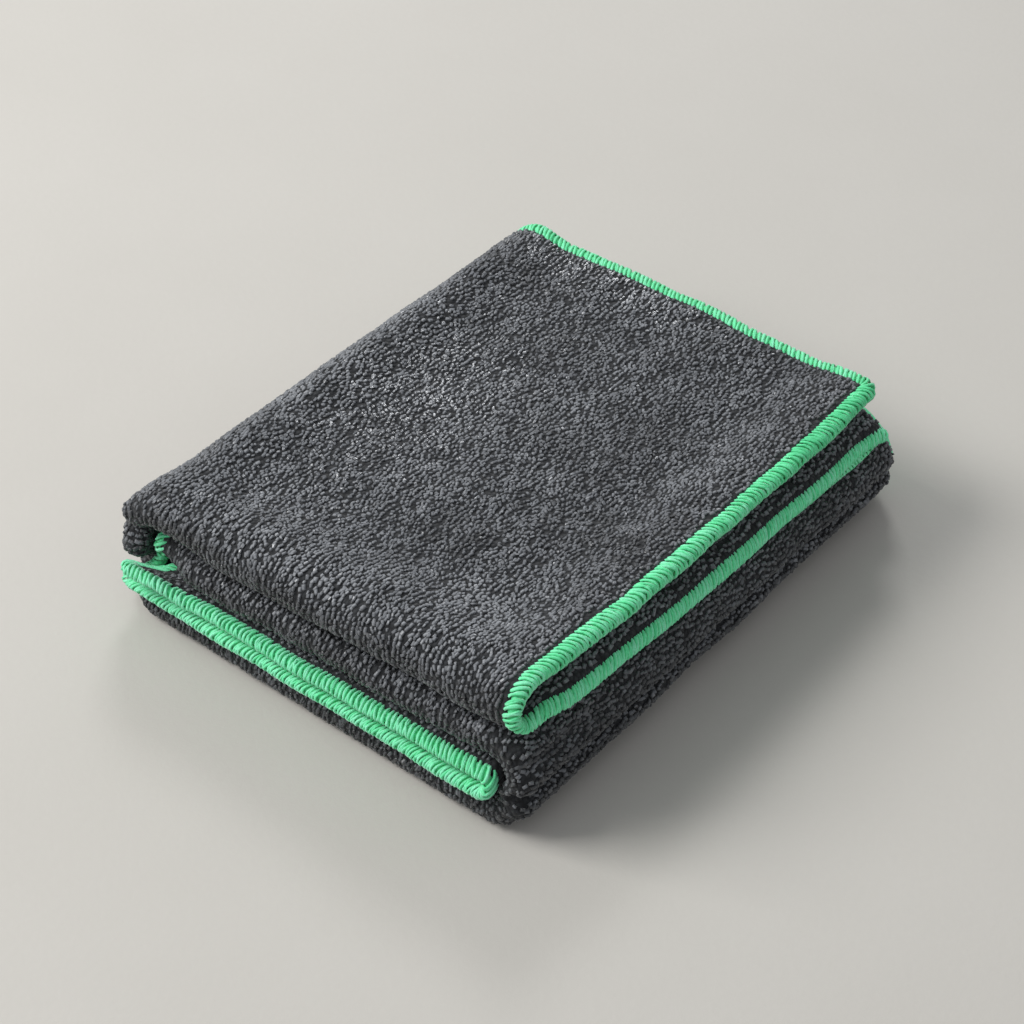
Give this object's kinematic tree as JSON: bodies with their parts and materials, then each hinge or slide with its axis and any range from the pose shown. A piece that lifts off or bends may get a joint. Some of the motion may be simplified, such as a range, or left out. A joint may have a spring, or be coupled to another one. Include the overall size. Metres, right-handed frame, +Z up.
{
  "type": "folded towel",
  "caption": "Folded looped-pile microfibre towel with an overlocked thread edge, for cooling and wiping; rests flat.",
  "frame": {"origin": "centre of the folded pile's footprint, on the surface it rests on", "axes": "+Z up, through the layers; +Y along the longer folded side, towards the back; +X to the right, where the free edges of the top sheets are"},
  "size_m": [0.1482, 0.1838, 0.0493],
  "materials": {
    "charcoal_terry": "looped pile",
    "green_thread": "soft thread"
  },
  "bodies": {
    "root": {"towel_cloth": "charcoal_terry", "overlock_edging": "green_thread"}
  },
  "joints": []
}
